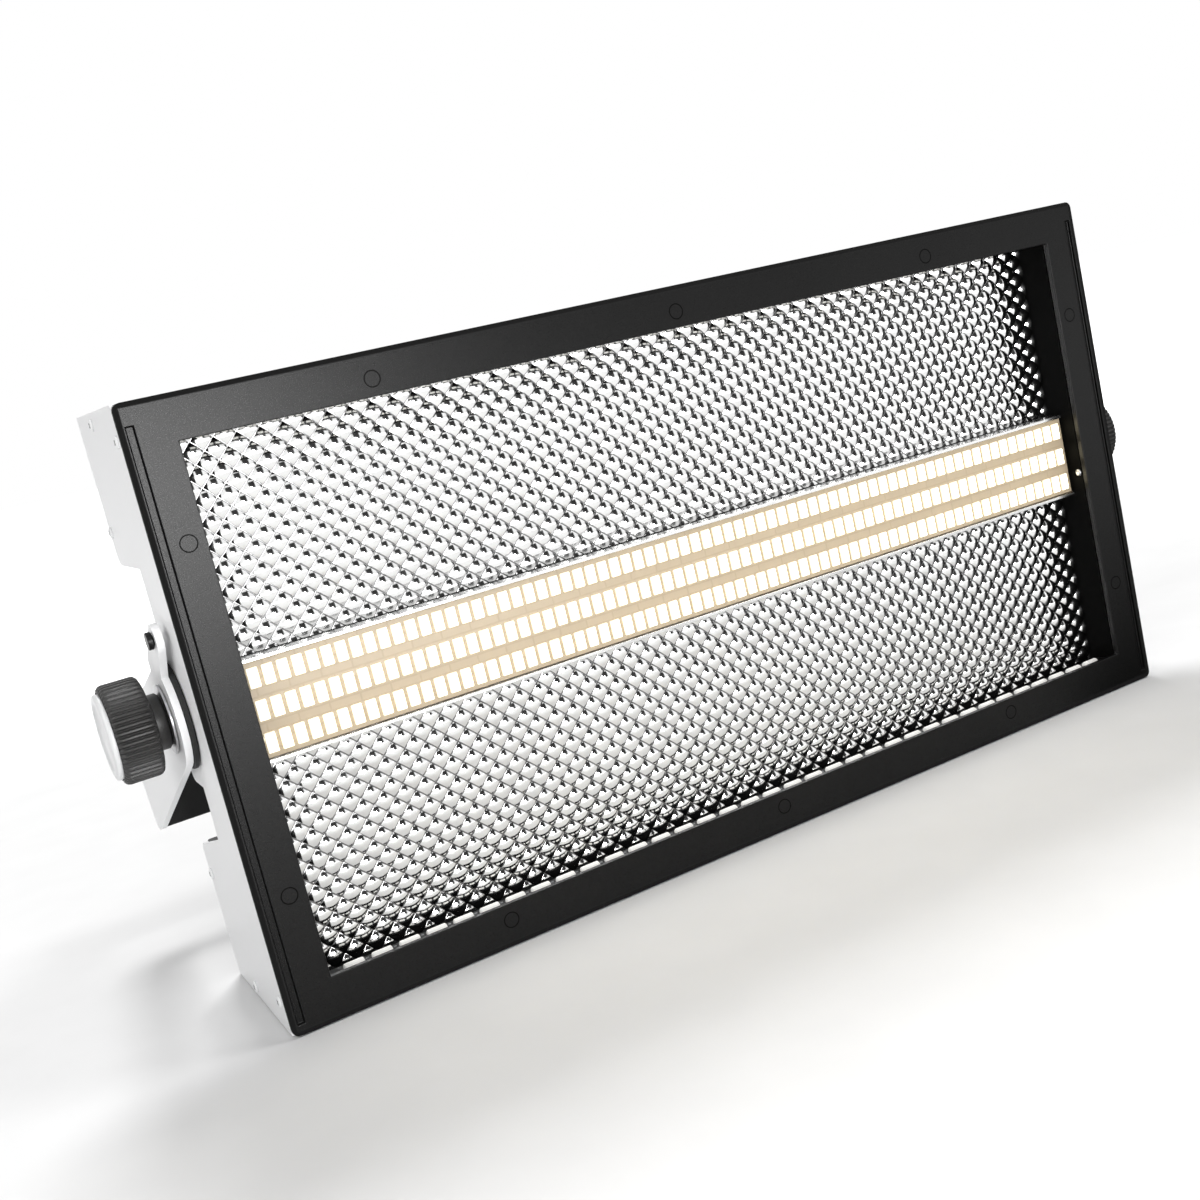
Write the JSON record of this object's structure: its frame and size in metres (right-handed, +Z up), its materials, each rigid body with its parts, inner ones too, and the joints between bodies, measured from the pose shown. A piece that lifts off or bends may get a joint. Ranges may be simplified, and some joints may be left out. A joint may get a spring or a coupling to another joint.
{
  "type": "strobe light",
  "caption": "Boxy LED strobe light with a central LED bar, dimpled mirror reflectors, a rear fan-cooled heat sink and a tilting yoke clamped by fluted side knobs.",
  "frame": {"origin": "centre of the underside of the bottom cover, on the floor that the light stands on", "axes": "+X along the width, to the right seen from the front, +Z up, the light shines along -Y"},
  "size_m": [0.4668, 0.1763, 0.22],
  "materials": {
    "frame_paint": "fine mottled satin black",
    "panel_paint": "satin near-white",
    "cover_paint": "satin black",
    "inner_paint": "satin black",
    "yoke_paint": "satin near-white",
    "crossbar_paint": "satin black",
    "reflector": "polished, dimpled",
    "led_light": "glossy warm white",
    "led_board": "matte cream",
    "alloy": "satin natural",
    "zinc_steel": "satin zinc",
    "guard_steel": "satin black",
    "circuit_board": "matte green",
    "fan_plastic": "matte black",
    "knob_plastic": "satin black",
    "cap_plastic": "satin near-white",
    "button_plastic": "matte dark grey",
    "socket_black": "matte black",
    "socket_blue": "matte blue",
    "socket_grey": "matte grey",
    "display": "gloss dark",
    "rubber": "matte black",
    "screw_black": "satin black"
  },
  "bodies": {
    "housing": {"front_frame": "frame_paint", "side_panel_left": "panel_paint", "side_panel_right": "panel_paint", "top_cover": "cover_paint", "bottom_cover": "cover_paint", "bay_floor_upper": "cover_paint", "bay_roof_lower": "cover_paint", "rear_panel_upper": "cover_paint", "rear_panel_lower": "cover_paint", "inner_chassis": "inner_paint", "end_wall_left": "inner_paint", "end_wall_right": "inner_paint", "reflector_upper": "reflector", "reflector_lower": "reflector", "edge_led_strip_upper": "led_light", "edge_led_strip_lower": "led_light", "led_core": "alloy", "led_board": "led_board", "heat_sink": "alloy", "fan_frame_left": "fan_plastic", "fan_frame_right": "fan_plastic", "fan_guard_left": "guard_steel", "fan_guard_right": "guard_steel", "power_supply": "alloy", "driver_board": "circuit_board", "control_board": "circuit_board", "display_window": "display", "power_inlet": "socket_blue", "power_outlet": "socket_grey", "dmx_in": "socket_black", "dmx_out": "socket_black", "fuse_holder": "socket_black", "safety_eye": "zinc_steel", "pivot_stud_left": "zinc_steel", "pivot_stud_right": "zinc_steel", "friction_disc_left": "rubber", "friction_disc_right": "rubber"},
    "yoke": {"yoke_arm_left": "yoke_paint", "yoke_arm_right": "yoke_paint", "stop_screw_left": "screw_black", "stop_screw_right": "screw_black", "yoke_crossbar": "crossbar_paint", "washer_left": "zinc_steel", "washer_right": "zinc_steel"},
    "knob_left": {"knob_left": "knob_plastic", "knob_cap_left": "cap_plastic"},
    "knob_right": {"knob_right": "knob_plastic", "knob_cap_right": "cap_plastic"},
    "fan_rotor_left": {"fan_rotor_left": "fan_plastic"},
    "fan_rotor_right": {"fan_rotor_right": "fan_plastic"},
    "menu_button_1": {"menu_button_1": "button_plastic"},
    "menu_button_2": {"menu_button_2": "button_plastic"},
    "menu_button_3": {"menu_button_3": "button_plastic"},
    "menu_button_4": {"menu_button_4": "button_plastic"},
    "dmx_latch": {"dmx_latch": "zinc_steel"},
    "fuse_cap": {"fuse_cap": "socket_black"}
  },
  "joints": [
    {"name": "yoke_tilt", "type": "hinge", "parent": "housing", "child": "yoke", "pos_m": [0, -0.004, 0.1122], "axis": [1, 0, 0], "range_deg": [-76, 114]},
    {"name": "knob_left_turn", "type": "hinge", "parent": "housing", "child": "knob_left", "pos_m": [-0.2245, -0.004, 0.1122], "axis": [1, 0, 0], "continuous": true},
    {"name": "knob_right_turn", "type": "hinge", "parent": "housing", "child": "knob_right", "pos_m": [0.2245, -0.004, 0.1122], "axis": [1, 0, 0], "continuous": true},
    {"name": "fan_left_spin", "type": "hinge", "parent": "housing", "child": "fan_rotor_left", "pos_m": [-0.088, 0.0252, 0.11], "axis": [0, 1, 0], "continuous": true},
    {"name": "fan_right_spin", "type": "hinge", "parent": "housing", "child": "fan_rotor_right", "pos_m": [0.088, 0.0252, 0.11], "axis": [0, 1, 0], "continuous": true},
    {"name": "menu_button_1_press", "type": "slide", "parent": "housing", "child": "menu_button_1", "axis": [0, -1, 0], "range_m": [0, 0.0012], "stiffness_N_per_m": 400},
    {"name": "menu_button_2_press", "type": "slide", "parent": "housing", "child": "menu_button_2", "axis": [0, -1, 0], "range_m": [0, 0.0012], "stiffness_N_per_m": 400},
    {"name": "menu_button_3_press", "type": "slide", "parent": "housing", "child": "menu_button_3", "axis": [0, -1, 0], "range_m": [0, 0.0012], "stiffness_N_per_m": 400},
    {"name": "menu_button_4_press", "type": "slide", "parent": "housing", "child": "menu_button_4", "axis": [0, -1, 0], "range_m": [0, 0.0012], "stiffness_N_per_m": 400},
    {"name": "dmx_latch_press", "type": "slide", "parent": "housing", "child": "dmx_latch", "axis": [0, -1, 0], "range_m": [0, 0.0012], "stiffness_N_per_m": 400},
    {"name": "fuse_cap_turn", "type": "hinge", "parent": "housing", "child": "fuse_cap", "pos_m": [-0.10608, 0.045, 0.1923], "axis": [0, 1, 0], "range_deg": [0, 45]}
  ]
}
